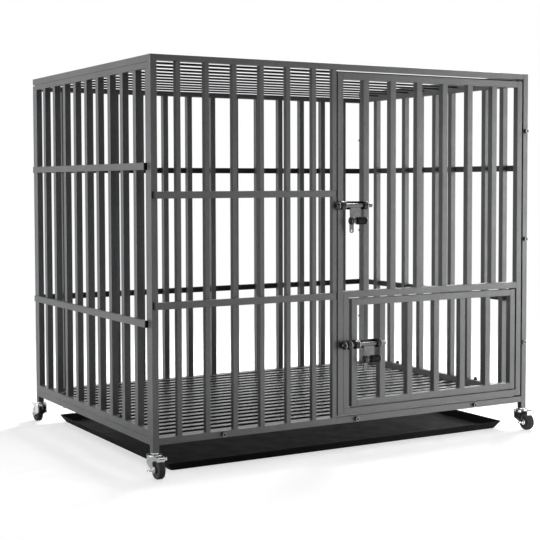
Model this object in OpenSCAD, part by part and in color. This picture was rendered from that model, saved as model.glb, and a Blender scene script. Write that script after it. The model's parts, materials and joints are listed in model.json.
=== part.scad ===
// Heavy duty dog crate of welded square tube on four swivel casters, with a
// tall door, a small door set into it, slide bolts and a loose floor tray.
// +X runs along the front from the latch side to the hinge side, the front
// faces -Y, +Z is up, and the origin lies on the ground under the middle.

/* [Overall] */
// Length of the crate along its front
crate_l = 1200; // [1100:1:1300]
// Width of the crate from front to back
crate_w = 842; // [780:1:920]
// Height of the front posts, from their lower ends to the roof
post_h = 973; // [900:1:1050]
// Height of the posts' lower ends above the ground
caster_h = 62; // [60:0.5:70]

/* [Tube] */
// Side of the square frame tube
tube = 17.5; // [16:0.5:20]
// Side of the square tube of both doors
door_tube = 18; // [16:0.5:20]
// Side of the slimmer bars in the fixed part of the front
front_bar = 13.5; // [11:0.5:16]
// Wall of every tube
wall = 1; // [0.8:0.1:1.6]
// Depth of the side panels' end uprights
upright_d = 13.5; // [12:0.5:17]
// Height of the top rails of the four panels
top_rail_h = 15.5; // [14:0.5:17]
// Height of the roof's side tubes
roof_tube_h = 18; // [16:0.5:20]
// Height of the cross rails on the outside of the bars
cross_h = 17.5; // [14:0.5:20]
// Depth of the cross rails
cross_d = 9.5; // [7:0.5:12]
// Thickness of the plates that close the cross rails' ends
cap_t = 1.5; // [1:0.1:2.5]

/* [Panels] */
// Height of the bottom rails above the posts' lower ends
rail_lift = 18; // [15:0.5:24]
// Slot between the back panel's top and the roof tubes
back_drop = 2.5; // [1:0.5:5]
// Number of bars in the fixed part of the front
front_bar_n = 6; // [4:1:7]
// Clear gap at both ends of the row of front bars
front_bar_gap = 50; // [40:1:58]
// Number of bars in each side panel
side_bar_n = 9; // [7:1:10]
// Clear gap at both ends of a side panel's row of bars
side_bar_gap = 57; // [45:1:65]
// Number of bars in the back panel
back_bar_n = 13; // [10:1:14]
// Lower edge of the front's lower cross rail above the posts' ends
front_cross_low = 352.5; // [320:0.5:400]
// Lower edge of the front's upper cross rail above the posts' ends
front_cross_high = 623; // [615:0.5:680]
// Distance from the latch side post's edge to the front cross rails
front_cross_inset = 3.5; // [1:0.5:8]
// Lower edge of the lower cross rail on the sides and back
side_cross_low = 307; // [270:0.5:340]
// Lower edge of the upper cross rail on the sides and back
side_cross_high = 693; // [640:0.5:750]
// Distance from the side panels' ends to their cross rails
side_cross_inset = 2.5; // [1:0.5:6]

/* [Roof and floor] */
// Number of roof slats
roof_slat_n = 10; // [8:1:12]
// Width of a roof slat
roof_slat_w = 20; // [16:0.5:24]
// Thickness of a roof slat
roof_slat_t = 4; // [3:0.1:5]
// Gap between the front top rail and the first roof slat
roof_slat_gap = 31; // [20:0.5:40]
// Gap between the last roof slat and the back end of the roof
roof_slat_end = 11; // [5:0.5:30]
// Number of floor bars
floor_bar_n = 17; // [14:1:19]
// Width of a floor bar
floor_bar_w = 20; // [16:0.5:24]
// Height of a floor bar
floor_bar_h = 13.5; // [11:0.5:16]

/* [Doors] */
// Width of the tall door
door_w = 638; // [600:1:680]
// Clearance of the tall door's turning stile to the hinge side post
door_swing_gap = 0.5; // [0.3:0.1:1.5]
// Gap between the tall door and the latch side jamb
door_latch_gap = 3.2; // [3:0.1:5]
// Gap above the tall door
door_top_gap = 6; // [4:0.1:8]
// Gap below the tall door
door_end_gap = 4; // [3:0.1:6]
// Number of bars in the tall door
door_bar_n = 6; // [5:1:7]
// Shift of the tall door's row of bars towards its latch
door_bar_shift = 6; // [0:0.5:10]
// Lower edge of the tall door's middle rail above the posts' ends
door_mid = 354; // [320:0.5:390]
// Clearance of the small door's turning stile to the tall door
small_swing_gap = 0.8; // [0.8:0.1:2]
// Gap between the small door and the tall door's inner stile
small_latch_gap = 8.5; // [7:0.1:10]
// Gap above and below the small door
small_end_gap = 3; // [2.5:0.1:5]
// Number of bars in the small door
small_bar_n = 5; // [4:1:6]
// Radius of the doors' pivot pins
pivot_r = 4; // [3:0.1:5]
// Reach of a pivot pin past the wall of the rail that holds it
pivot_reach = 8; // [4:0.5:12]
// Length of a pivot's square plug inside the stile
pivot_plug = 24; // [15:1:40]

/* [Latches] */
// Height of the upper bolt's axis above the posts' ends
upper_bolt_z = 600.5; // [560:0.5:610]
// Height of the lower bolt's axis above the posts' ends
lower_bolt_z = 228.5; // [180:0.5:280]
// Radius of the bolts
bolt_r = 5.5; // [4.5:0.1:6.5]
// Travel of a bolt between drawn and thrown
bolt_throw = 15; // [13:0.5:18]
// Reach of a drawn bolt's tip past the door's edge
bolt_tip = 3; // [2:0.5:4]
// Distance of a bolt's axis from the door's face
bolt_out = 13; // [12:0.5:15]
// Outer radius of the bolt guides
guide_r = 11; // [9.5:0.1:11.5]
// Length of the guide next to the door's edge
guide_l = 14; // [10:0.5:15]
// Length of the guide at the end of the latch strip
end_guide_l = 13; // [8:0.5:16]
// Length of the latch strip
strip_l = 83.5; // [80:0.5:90]
// Height of the latch strip
strip_h = 22; // [18:0.5:26]
// Thickness of the latch strip
strip_t = 3; // [2.5:0.1:4]
// Thickness of the handle plate on a bolt
flag_t = 3; // [2:0.1:4]
// Length of the handle plate along the bolt
flag_l = 33; // [30:0.5:36]
// Width of the slit in the handle plate
slit_w = 1.2; // [0.8:0.1:2]
// Depth of the handle plate's lower edge below the bolt's axis
flag_drop = 31; // [26:0.5:36]
// Outer radius of the padlock ring and of the grip
grip_r = 10; // [8:0.1:11]
// Length of the grip
grip_l = 33; // [25:0.5:36]
// Length of the padlock ring
ring_l = 8; // [5:0.5:10]
// Bore radius of the padlock ring
ring_bore = 4.5; // [3:0.1:6]
// Length of the lock tab below the padlock ring
tab_l = 22; // [16:0.5:28]
// Width of the lock tab
tab_w = 12; // [10:0.5:14]
// Radius of the hole in the lock tab
tab_hole = 3; // [2:0.1:4]
// Length of the upper keeper
keeper_l = 11; // [8:0.5:12]
// Length of the lower keeper's barrel
lower_keeper_l = 31; // [26:0.5:33]

/* [Fasteners] */
// Radius of the screw and bolt shanks
screw_r = 3; // [2.5:0.1:3.5]
// Radius of the panel screws' socket heads
socket_head_r = 6; // [5:0.1:6.5]
// Height of the panel screws' socket heads
socket_head_h = 8; // [5:0.5:9]
// Radius of the drive socket in a screw head
socket_r = 3.2; // [2.4:0.1:3.6]
// Radius of the upright bolts' round heads
head_r = 5; // [4.5:0.1:6]
// Height of the upright bolts' heads and of the low socket heads
head_h = 4; // [2.5:0.5:4]
// Radius of the nuts across their corners
nut_r = 5.8; // [5:0.1:6.5]
// Height of the nuts
nut_h = 5; // [4:0.5:6]
// Distance between neighbouring screws along the front bottom rail
floor_screw_pitch = 405; // [300:1:440]
// Height of the lowest corner screws above the posts' ends
corner_screw_low = 194; // [150:1:240]
// Drop of the highest corner screws below the posts' tops
corner_screw_drop = 164; // [110:1:210]
// Drop of the middle corner screws below the middle of the other two
corner_screw_sag = 5.5; // [0:0.5:20]

/* [Casters] */
// Radius of a caster wheel
wheel_r = 24; // [22:0.5:25]
// Width of a caster wheel's tread
wheel_w = 18; // [14:0.5:20]
// Distance from the swivel axis to the wheel's axle
trail = 22; // [20:0.5:24]
// Radius of the axle
axle_r = 3; // [2.5:0.1:4]
// Radius of the swivel stem
stem_r = 5; // [4:0.1:6]
// Thickness of the fork's sheet
fork_t = 2.5; // [2:0.1:3]
// Clear width inside the fork
fork_in = 22; // [20:0.5:24]
// Radius of the fork's round top
cup_r = 19; // [17:0.5:21]
// Reach of the fork's legs behind the swivel axis
leg_back = 18; // [14:0.5:20]
// Distance from the swivel axis to the legs' front edges
leg_front = 19.5; // [18:0.5:21]
// Length of the threaded end of the axle past its nut
axle_end = 12; // [6:0.5:14]

/* [Tray] */
// Gap between the tray's rim and the crate's two ends
tray_end_gap = 58; // [58:1:90]
// Gap between the tray's rim and the crate's front and back
tray_side_gap = 36; // [20:1:80]
// Depth of the tray
tray_h = 22; // [15:0.5:30]
// Slope of the tray's walls, bottom edge inside the rim
tray_flare = 16; // [8:0.5:22]
// Thickness of the tray's sheet
tray_t = 2.5; // [1.5:0.1:3]

/* [Hidden] */
// Sides of a round shape
$fn = 64;
// Overlap of a cut past the face that it opens
cut = 1;
// Radial clearance of a turning or sliding fit
run = 0.05;
// Gap between flat faces that move past each other
slip = 0.3;
// Radial clearance of a screw in its hole
screw_clear = 0.2;
// Seam between two tubes of the floor frame
weld = 0.05;

x_left = -crate_l / 2;
x_right = crate_l / 2;
y_front = -crate_w / 2;
y_back = crate_w / 2;
z_post = caster_h;
z_top = z_post + post_h;
z_rail = z_post + rail_lift;
z_floor = z_rail + tube;
z_roof = z_top - roof_tube_h;
z_back_top = z_roof - back_drop;
z_front_top = z_top - top_rail_h;
side_span = [y_front + tube, y_back - tube];
z_side = [z_floor + tube, z_roof - top_rail_h];

// A square stile that turns about its own middle reaches this far past its side
stile_swing = door_tube * (sqrt(2) - 1) / 2;
door_hinge_gap = stile_swing + door_swing_gap;
small_hinge_gap = stile_swing + small_swing_gap;
door_x1 = x_right - tube - door_hinge_gap;
door_x0 = door_x1 - door_w;
door_z0 = z_floor + door_end_gap;
door_z1 = z_front_top - door_top_gap;
door_mid_z = z_post + door_mid;
jamb_x1 = door_x0 - door_latch_gap;
jamb_x0 = jamb_x1 - front_bar;
door_in = [door_x0 + door_tube, door_x1 - door_tube];
door_pivot = [door_x1 - door_tube / 2, y_front + door_tube / 2];
inner_x1 = door_in[0] + door_tube;

small_x0 = inner_x1 + small_latch_gap;
small_x1 = door_in[1] - small_hinge_gap;
small_z0 = door_z0 + door_tube + small_end_gap;
small_z1 = door_mid_z - small_end_gap;
small_in = [small_x0 + door_tube, small_x1 - door_tube];
small_pivot = [small_x1 - door_tube / 2, y_front + door_tube / 2];

floor_screw_x = [-floor_screw_pitch, 0, floor_screw_pitch];
corner_screw_high = post_h - corner_screw_drop;
corner_screw_mid = (corner_screw_low + corner_screw_high) / 2 - corner_screw_sag;
corner_screw_z = [corner_screw_low, corner_screw_mid, corner_screw_high];
shank_hole_r = screw_r + screw_clear;

// Side bars along Y, and the upright bolts between the second and third bar
side_bar_first = side_span[0] + upright_d + side_bar_gap;
side_bar_pitch = (-2 * side_bar_first - tube) / (side_bar_n - 1);
side_bolt_first = side_bar_first + tube / 2 + 1.5 * side_bar_pitch;
side_bolt_y = [side_bolt_first, -side_bolt_first];

// Spans of the cross rails, end caps included
front_cross_x = [x_left + front_cross_inset, jamb_x0 + front_bar / 2];
back_cross_x = [x_left + front_cross_inset, x_right - front_cross_inset];
side_cross_y = [side_span[0] + side_cross_inset, side_span[1] - side_cross_inset];

// Casters: latch front, hinge front, latch back, hinge back
post_x = x_right - tube / 2;
post_y = y_back - tube / 2;
CASTERS = [
    [-post_x, -post_y, 0],
    [post_x, -post_y, 0],
    [-post_x, post_y, 180],
    [post_x, post_y, 180],
];
flange_r = 11;
flange_t = 5;
stem_plug = 30;
rivet_r = 8;
rivet_t = 3;
fork_top = caster_h - flange_t - slip;
fork_bottom = fork_top - fork_t;
fork_w = fork_in + 2 * fork_t;
cup_z = fork_top - 6;
leg_low = wheel_r + 8;
lip = 2;
axle_boss_r = 8;
axle_nut_r = 6.4;
axle_nut_t = 4.5;
hub_w = fork_in - 2 * slip;
hub_r = 9;
brake_pin_r = 2;
brake_y = -trail - 15;
brake_z = fork_top - 4;
ear = 4;
shoe_gap = 1.8;
shoe_angle = 55;
pedal_l = 14;
pedal_t = 2;
pedal_w = fork_in - 2;

// Latch lengths measured from the door's latch side edge
strip_x = 0.5;
flag_x = strip_x + guide_l + bolt_throw + 1;
ring_x = flag_x + 1;
slit_l = 10;
lobe_w = 6;
lobe_x = ring_x + ring_l + 5.5;
grip_z = -flag_drop - grip_r;
grip_pin_r = 4;
lobe_z = grip_z - grip_pin_r - 1;
end_guide_x = strip_x + strip_l - end_guide_l;
tip_chamfer = 1.5;
keeper_edge = 1.5;
lower_keeper_edge = 2;

STEEL = "#6b6d70";
DARK = "#2a2b2d";
CHROME = "#d5d8da";
BLACK = "#17181a";
TRAY = "#202124";

// A square or flat tube from one corner, open along the axis 0, 1 or 2
module hollow(from, size, axis) {
    inside = [for (i = [0:2]) i == axis ? -cut : wall];
    difference() {
        translate(from) cube(size);
        translate(from + inside) cube(size - 2 * inside);
    }
}

// Round shapes that lie along X and along Y
module rod_x(from, len, r) {
    translate(from) rotate([0, 90, 0]) cylinder(h = len, r = r);
}

module rod_y(from, len, r) {
    translate(from) rotate([-90, 0, 0]) cylinder(h = len, r = r);
}

function spread(first, last, n) = [for (i = [0:n - 1]) first + (last - first) * i / (n - 1)];

// Holes for the corner screws, through the posts and into the side uprights.
// At the back they end inside the uprights, where the nuts are.
module corner_holes() {
    for (x = [x_left + tube / 2, x_right - tube / 2], z = corner_screw_z) {
        rod_y([x, y_front - cut, z_post + z], tube + upright_d + 2 * cut, shank_hole_r);
        rod_y([x, y_back - tube - upright_d / 2, z_post + z], tube + upright_d / 2 + cut, shank_hole_r);
    }
}

// The latch side front post is screwed from within, so its face stays plain
module plain_face() {
    translate([x_left - cut, y_front, z_post]) cube([tube + 2 * cut, tube / 2, post_h]);
}

// Holes for the floor screws, through the bottom rails and the floor tubes
module floor_holes() {
    for (x = floor_screw_x, y = [y_front - cut, y_back - 2 * tube - cut])
        rod_y([x, y, z_rail + tube / 2], 2 * tube + 2 * cut, shank_hole_r);
}

// Holes for the upright bolts, through the side rails and the floor tubes
module side_holes() {
    for (x = [x_left + tube / 2, x_right - tube / 2], y = side_bolt_y)
        translate([x, y, z_rail - cut]) cylinder(h = 2 * tube + 2 * cut, r = shank_hole_r);
}

module front_posts() {
    color(STEEL) difference() {
        for (x = [x_left, x_right - tube])
            hollow([x, y_front, z_post], [tube, tube, post_h], 2);
        difference() {
            corner_holes();
            plain_face();
        }
    }
}

module front_rails() {
    span = crate_l - 2 * tube;
    color(STEEL) difference() {
        union() {
            hollow([x_left + tube, y_front, z_rail], [span, tube, tube], 0);
            hollow([x_left + tube, y_front, z_front_top], [span, tube, top_rail_h], 0);
        }
        floor_holes();
        translate([door_pivot[0], door_pivot[1], z_floor - wall - cut])
            cylinder(h = wall + 2 * cut, r = pivot_r + run);
        translate([door_pivot[0], door_pivot[1], z_front_top - cut])
            cylinder(h = wall + 2 * cut, r = pivot_r + run);
    }
}

module front_jamb() {
    color(STEEL)
        hollow([jamb_x0, y_front, z_floor], [front_bar, front_bar, z_front_top - z_floor], 2);
}

module front_bars() {
    first = x_left + tube + front_bar_gap;
    last = jamb_x0 - front_bar_gap - front_bar;
    color(STEEL)
        for (x = spread(first, last, front_bar_n))
            hollow([x, y_front, z_floor], [front_bar, front_bar, z_front_top - z_floor], 2);
}

module front_cross_rails() {
    len = front_cross_x[1] - front_cross_x[0] - 2 * cap_t;
    color(STEEL)
        for (z = [front_cross_low, front_cross_high])
            hollow([front_cross_x[0] + cap_t, y_front - cross_d, z_post + z], [len, cross_d, cross_h], 0);
}

module back_posts() {
    color(STEEL) difference() {
        for (x = [x_left, x_right - tube])
            hollow([x, y_back - tube, z_post], [tube, tube, z_back_top - z_post], 2);
        corner_holes();
    }
}

module back_rails() {
    color(STEEL) difference() {
        union() {
            hollow([x_left + tube, y_back - tube, z_rail], [crate_l - 2 * tube, tube, tube], 0);
            hollow([x_left + tube, y_back - tube, z_back_top - top_rail_h],
                [crate_l - 2 * tube, tube, top_rail_h], 0);
        }
        floor_holes();
    }
}

module back_bars() {
    pitch = (crate_l - tube) / (back_bar_n + 1);
    color(STEEL)
        for (i = [1:back_bar_n])
            hollow([x_left + pitch * i, y_back - tube, z_floor],
                [tube, tube, z_back_top - top_rail_h - z_floor], 2);
}

module back_cross_rails() {
    len = back_cross_x[1] - back_cross_x[0] - 2 * cap_t;
    color(STEEL)
        for (z = [side_cross_low, side_cross_high])
            hollow([back_cross_x[0] + cap_t, y_back, z_post + z], [len, cross_d, cross_h], 0);
}

module side_uprights() {
    color(STEEL) difference() {
        for (x = [x_left, x_right - tube], y = [side_span[0], side_span[1] - upright_d])
            hollow([x, y, z_side[0]], [tube, upright_d, z_side[1] - z_side[0]], 2);
        corner_holes();
    }
}

module side_rails() {
    color(STEEL) difference() {
        for (x = [x_left, x_right - tube]) {
            hollow([x, side_span[0], z_floor], [tube, side_span[1] - side_span[0], tube], 1);
            hollow([x, side_span[0], z_side[1]], [tube, side_span[1] - side_span[0], top_rail_h], 1);
        }
        side_holes();
    }
}

module side_bars(x) {
    color(STEEL)
        for (i = [0:side_bar_n - 1])
            hollow([x, side_bar_first + side_bar_pitch * i, z_side[0]],
                [tube, tube, z_side[1] - z_side[0]], 2);
}

module left_bars() {
    side_bars(x_left);
}

module right_bars() {
    side_bars(x_right - tube);
}

module side_cross_rails() {
    len = side_cross_y[1] - side_cross_y[0] - 2 * cap_t;
    color(STEEL)
        for (x = [x_left - cross_d, x_right], z = [side_cross_low, side_cross_high])
            hollow([x, side_cross_y[0] + cap_t, z_post + z], [cross_d, len, cross_h], 1);
}

module cross_rail_caps() {
    color(DARK) {
        for (z = [front_cross_low, front_cross_high])
            for (x = [front_cross_x[0], front_cross_x[1] - cap_t])
                translate([x, y_front - cross_d, z_post + z]) cube([cap_t, cross_d, cross_h]);
        for (z = [side_cross_low, side_cross_high]) {
            for (x = [back_cross_x[0], back_cross_x[1] - cap_t])
                translate([x, y_back, z_post + z]) cube([cap_t, cross_d, cross_h]);
            for (x = [x_left - cross_d, x_right], y = [side_cross_y[0], side_cross_y[1] - cap_t])
                translate([x, y, z_post + z]) cube([cross_d, cap_t, cross_h]);
        }
    }
}

module roof_tubes() {
    color(STEEL)
        for (x = [x_left, x_right - tube])
            hollow([x, y_front + tube, z_roof], [tube, crate_w - tube, roof_tube_h], 1);
}

module roof_slats() {
    first = y_front + tube + roof_slat_gap;
    last = y_back - roof_slat_end - roof_slat_w;
    color(STEEL)
        for (y = spread(first, last, roof_slat_n))
            translate([x_left + tube, y, z_roof]) cube([crate_l - 2 * tube, roof_slat_w, roof_slat_t]);
}

module floor_tubes() {
    color(STEEL) difference() {
        union() {
            for (x = [x_left, x_right - tube])
                hollow([x, side_span[0], z_rail], [tube, side_span[1] - side_span[0], tube], 1);
            for (y = [side_span[0], side_span[1] - tube])
                hollow([x_left + tube + weld, y, z_rail], [crate_l - 2 * tube - 2 * weld, tube, tube], 0);
        }
        floor_holes();
        side_holes();
    }
}

module floor_bars() {
    first = side_span[0];
    last = side_span[1] - tube;
    pitch = (last - first) / (floor_bar_n + 1);
    color(STEEL)
        for (i = [1:floor_bar_n])
            hollow([x_left + tube, first + pitch * i + (tube - floor_bar_w) / 2, z_floor - floor_bar_h],
                [crate_l - 2 * tube, floor_bar_w, floor_bar_h], 0);
}

module door_stiles() {
    color(STEEL)
        for (x = [door_x0, door_in[1]])
            hollow([x, y_front, door_z0], [door_tube, door_tube, door_z1 - door_z0], 2);
}

module door_inner_stile() {
    from = door_z0 + door_tube;
    color(STEEL)
        hollow([door_in[0], y_front, from], [door_tube, door_tube, door_mid_z - from], 2);
}

module door_rails() {
    color(STEEL) difference() {
        for (z = [door_z0, door_mid_z, door_z1 - door_tube])
            hollow([door_in[0], y_front, z], [door_in[1] - door_in[0], door_tube, door_tube], 0);
        for (z = [door_z0 + door_tube - wall, door_mid_z])
            translate([small_pivot[0], small_pivot[1], z - cut])
                cylinder(h = wall + 2 * cut, r = pivot_r + run);
    }
}

module door_bars() {
    from = door_mid_z + door_tube;
    pitch = (door_w - door_tube) / (door_bar_n + 1);
    color(STEEL)
        for (i = [1:door_bar_n])
            hollow([door_x0 + pitch * i - door_bar_shift, y_front, from],
                [door_tube, door_tube, door_z1 - door_tube - from], 2);
}

// A pivot: square plug in the stile, collar in the gap, pin in the rail. It
// stands on the stile's end and points up, or down when flipped.
module pivot(at, z, gap, flip) {
    side = door_tube - 2 * wall;
    translate([at[0], at[1], z]) mirror([0, 0, flip]) {
        translate([-side / 2, -side / 2, -pivot_plug]) cube([side, side, pivot_plug]);
        cylinder(h = gap - slip, r = pivot_r + 2);
        cylinder(h = gap + wall + pivot_reach, r = pivot_r);
    }
}

module door_pivots() {
    color(DARK) {
        pivot(door_pivot, door_z1, door_top_gap, 0);
        pivot(door_pivot, door_z0, door_end_gap, 1);
    }
}

module small_door_stiles() {
    color(STEEL)
        for (x = [small_x0, small_in[1]])
            hollow([x, y_front, small_z0], [door_tube, door_tube, small_z1 - small_z0], 2);
}

module small_door_rails() {
    color(STEEL)
        for (z = [small_z0, small_z1 - door_tube])
            hollow([small_in[0], y_front, z], [small_in[1] - small_in[0], door_tube, door_tube], 0);
}

module small_door_bars() {
    from = small_z0 + door_tube;
    pitch = (small_x1 - small_x0 - door_tube) / (small_bar_n + 1);
    color(STEEL)
        for (i = [1:small_bar_n])
            hollow([small_x0 + pitch * i, y_front, from],
                [door_tube, door_tube, small_z1 - door_tube - from], 2);
}

module small_door_pivots() {
    color(DARK) {
        pivot(small_pivot, small_z1, small_end_gap, 0);
        pivot(small_pivot, small_z0, small_end_gap, 1);
    }
}

// A latch is drawn with the bolt's axis along X through the origin, the
// door's face at Y = bolt_out and the door's latch side edge at X = 0
module on_door(edge, z) {
    translate([edge, y_front - bolt_out, z_post + z]) children();
}

module latch_strip() {
    difference() {
        union() {
            translate([strip_x, bolt_out - strip_t, -strip_h / 2]) cube([strip_l, strip_t, strip_h]);
            rod_x([strip_x, 0, 0], guide_l, guide_r);
            rod_x([end_guide_x, 0, 0], end_guide_l, guide_r);
        }
        rod_x([strip_x - cut, 0, 0], strip_l + 2 * cut, bolt_r + run);
        translate([strip_x - cut, bolt_out, -guide_r - cut])
            cube([strip_l + 2 * cut, guide_r, 2 * guide_r + 2 * cut]);
    }
}

// Bolt with its handle plate, padlock ring, lock tab and grip pin
module bolt() {
    tail = end_guide_x + end_guide_l + bolt_throw;
    rod_x([-bolt_tip + tip_chamfer, 0, 0], tail + bolt_tip - tip_chamfer, bolt_r);
    translate([-bolt_tip, 0, 0]) rotate([0, 90, 0])
        cylinder(h = tip_chamfer, r1 = bolt_r - tip_chamfer, r2 = bolt_r);
    translate([0, -flag_t / 2, 0]) {
        difference() {
            translate([flag_x, 0, -flag_drop]) cube([flag_l, flag_t, flag_drop]);
            translate([ring_x + ring_l / 2, -cut, -flag_drop + 2])
                cube([slit_w, flag_t + 2 * cut, slit_l]);
        }
        translate([lobe_x, 0, lobe_z]) cube([lobe_w, flag_t, 1 - lobe_z - flag_drop]);
    }
    rod_x([lobe_x, 0, grip_z], lobe_w + grip_l - 2, grip_pin_r);
    difference() {
        union() {
            rod_x([ring_x, 0, grip_z], ring_l, grip_r);
            translate([ring_x, -flag_t / 2, grip_z]) cube([ring_l, flag_t, -grip_z - flag_drop + 1]);
            lock_tab();
        }
        rod_x([ring_x - cut, 0, grip_z], ring_l + 2 * cut, ring_bore);
    }
}

// Plate below the padlock ring, with a round end and a hole for a lock
module lock_tab() {
    middle = ring_x + ring_l / 2;
    low = grip_z - grip_r - tab_l + tab_w / 2;
    translate([0, -flag_t / 2, 0]) difference() {
        union() {
            translate([middle - tab_w / 2, 0, low]) cube([tab_w, flag_t, grip_z - ring_bore - 1 - low]);
            rod_y([middle, 0, low], flag_t, tab_w / 2);
        }
        rod_y([middle, -cut, low], flag_t + 2 * cut, tab_hole);
    }
}

module grip() {
    difference() {
        rod_x([lobe_x + lobe_w, 0, grip_z], grip_l, grip_r);
        rod_x([lobe_x + lobe_w - cut, 0, grip_z], grip_l - 2 + cut + slip, grip_pin_r + run);
    }
}

module upper_latch_strip() {
    color(DARK) on_door(door_x0, upper_bolt_z) latch_strip();
}

module upper_bolt() {
    color(STEEL) on_door(door_x0, upper_bolt_z) bolt();
}

module upper_grip() {
    color(BLACK) on_door(door_x0, upper_bolt_z) grip();
}

module lower_latch_strip() {
    color(DARK) on_door(small_x0, lower_bolt_z) latch_strip();
}

module lower_bolt() {
    color(STEEL) on_door(small_x0, lower_bolt_z) bolt();
}

module lower_grip() {
    color(BLACK) on_door(small_x0, lower_bolt_z) grip();
}

// Foot that joins a keeper's barrel to the bar behind it
module keeper_foot(from, len) {
    translate([from, 0, -guide_r / 2]) cube([len, bolt_out, guide_r]);
}

module upper_keeper() {
    from = jamb_x1 - keeper_edge - keeper_l;
    color(DARK) on_door(0, upper_bolt_z) difference() {
        union() {
            rod_x([from, 0, 0], keeper_l, guide_r - 1);
            keeper_foot(from, keeper_l);
        }
        rod_x([from - cut, 0, 0], keeper_l + 2 * cut, bolt_r + slip);
    }
}

// The lower keeper is a cup with a waist and a domed end
module lower_keeper() {
    mouth = inner_x1 - lower_keeper_edge;
    waist = lower_keeper_l / 5;
    head = lower_keeper_l * 2 / 5;
    color(DARK) on_door(0, lower_bolt_z) difference() {
        union() {
            rod_x([mouth - head, 0, 0], head, guide_r);
            rod_x([mouth - head - waist, 0, 0], waist, guide_r - 2.5);
            intersection() {
                rod_x([mouth - lower_keeper_l, 0, 0], head, guide_r);
                translate([mouth - lower_keeper_l + guide_r, 0, 0]) sphere(r = guide_r);
            }
            keeper_foot(mouth - head, head);
        }
        rod_x([mouth - head - waist, 0, 0], head + waist + cut, bolt_r + slip);
    }
}

// A screw along Y with a socket head, its head at Y = 0 and its shank at +Y
module screw(at, len, flip, head) {
    translate(at) mirror([0, flip, 0]) difference() {
        union() {
            rod_y([0, -head, 0], head, socket_head_r);
            rod_y([0, 0, 0], len, screw_r);
        }
        translate([0, -head - cut, 0]) rotate([-90, 0, 0])
            cylinder(h = head * 0.6 + cut, r = socket_r, $fn = 6);
    }
}

// Screws of the corners and of the floor. The latch side front corner is
// screwed from within, the others from the outside. The opened small door
// passes the lowest screw of the hinge side, so that one has a low head.
module panel_screws() {
    corner_l = tube + upright_d + nut_h;
    back_l = tube + wall + nut_h;
    floor_l = 2 * tube + nut_h;
    left = x_left + tube / 2;
    right = x_right - tube / 2;
    color(DARK) {
        for (z = corner_screw_z) {
            front_head = z == corner_screw_low ? head_h : socket_head_h;
            screw([right, y_front, z_post + z], corner_l, 0, front_head);
            screw([left, side_span[0] + upright_d, z_post + z], upright_d + tube / 2 - 1, 1, head_h);
            for (x = [left, right])
                screw([x, y_back, z_post + z], back_l, 1, socket_head_h);
        }
        for (x = floor_screw_x) {
            screw([x, y_front, z_rail + tube / 2], floor_l, 0, socket_head_h);
            screw([x, y_back, z_rail + tube / 2], floor_l, 1, socket_head_h);
        }
    }
}

// A nut along Y that stands on the face at Y = 0 and grows towards +Y
module nut(at, flip) {
    translate(at) mirror([0, flip, 0]) rotate([-90, 0, 0]) difference() {
        cylinder(h = nut_h, r = nut_r, $fn = 6);
        translate([0, 0, -cut]) cylinder(h = nut_h + 2 * cut, r = screw_r + run);
    }
}

module panel_nuts() {
    left = x_left + tube / 2;
    right = x_right - tube / 2;
    color(DARK) {
        for (z = corner_screw_z) {
            nut([right, side_span[0] + upright_d, z_post + z], 0);
            for (x = [left, right])
                nut([x, side_span[1] - wall, z_post + z], 1);
        }
        for (x = floor_screw_x) {
            nut([x, side_span[0] + tube, z_rail + tube / 2], 0);
            nut([x, side_span[1] - tube, z_rail + tube / 2], 1);
        }
    }
}

// Upright bolts that hold the side panels down on the floor frame
module side_bolts() {
    color(DARK)
        for (x = [x_left + tube / 2, x_right - tube / 2], y = side_bolt_y)
            translate([x, y, z_rail]) {
                translate([0, 0, -head_h]) cylinder(h = head_h, r = head_r);
                cylinder(h = 2 * tube + nut_h, r = screw_r);
            }
}

// Domed cap nuts on the upright bolts
module side_nuts() {
    color(DARK)
        for (x = [x_left + tube / 2, x_right - tube / 2], y = side_bolt_y)
            translate([x, y, z_side[0]]) difference() {
                union() {
                    cylinder(h = nut_h, r = nut_r, $fn = 6);
                    intersection() {
                        translate([0, 0, nut_h]) sphere(r = nut_r * 0.8);
                        translate([0, 0, nut_h]) cylinder(h = nut_r, r = nut_r);
                    }
                }
                translate([0, 0, -cut]) cylinder(h = nut_h + cut + slip, r = screw_r + run);
            }
}

// Stems: a square plug in the post, a flange below it and a riveted shank
module caster_stems() {
    side = tube - 2 * wall;
    color(CHROME)
        for (c = CASTERS)
            translate([c[0], c[1], 0]) {
                translate([-side / 2, -side / 2, caster_h]) cube([side, side, stem_plug]);
                translate([0, 0, caster_h - flange_t]) cylinder(h = flange_t, r = flange_r);
                translate([0, 0, fork_bottom - slip]) cylinder(h = fork_t + 2 * slip, r = stem_r);
                translate([0, 0, fork_bottom - slip - rivet_t]) cylinder(h = rivet_t, r = rivet_r);
            }
}

// A caster is drawn with its swivel axis on Z and its wheel towards -Y
module at_caster(i) {
    translate([CASTERS[i][0], CASTERS[i][1], 0]) rotate([0, 0, CASTERS[i][2]]) children();
}

// Outline of one fork leg in the plane of the wheel, as Y and Z
module leg_outline() {
    front = brake_y - ear;
    boss = axle_boss_r * sqrt(0.5);
    polygon([
        [leg_back, fork_top],
        [front, fork_top],
        [front, brake_z - ear],
        [brake_y + ear, brake_z - ear],
        [-leg_front, brake_z - 2 * ear],
        [-leg_front, wheel_r],
        [-trail + boss, wheel_r - boss],
        [leg_back, leg_low],
    ]);
    translate([-trail, wheel_r]) circle(r = axle_boss_r);
}

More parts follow.
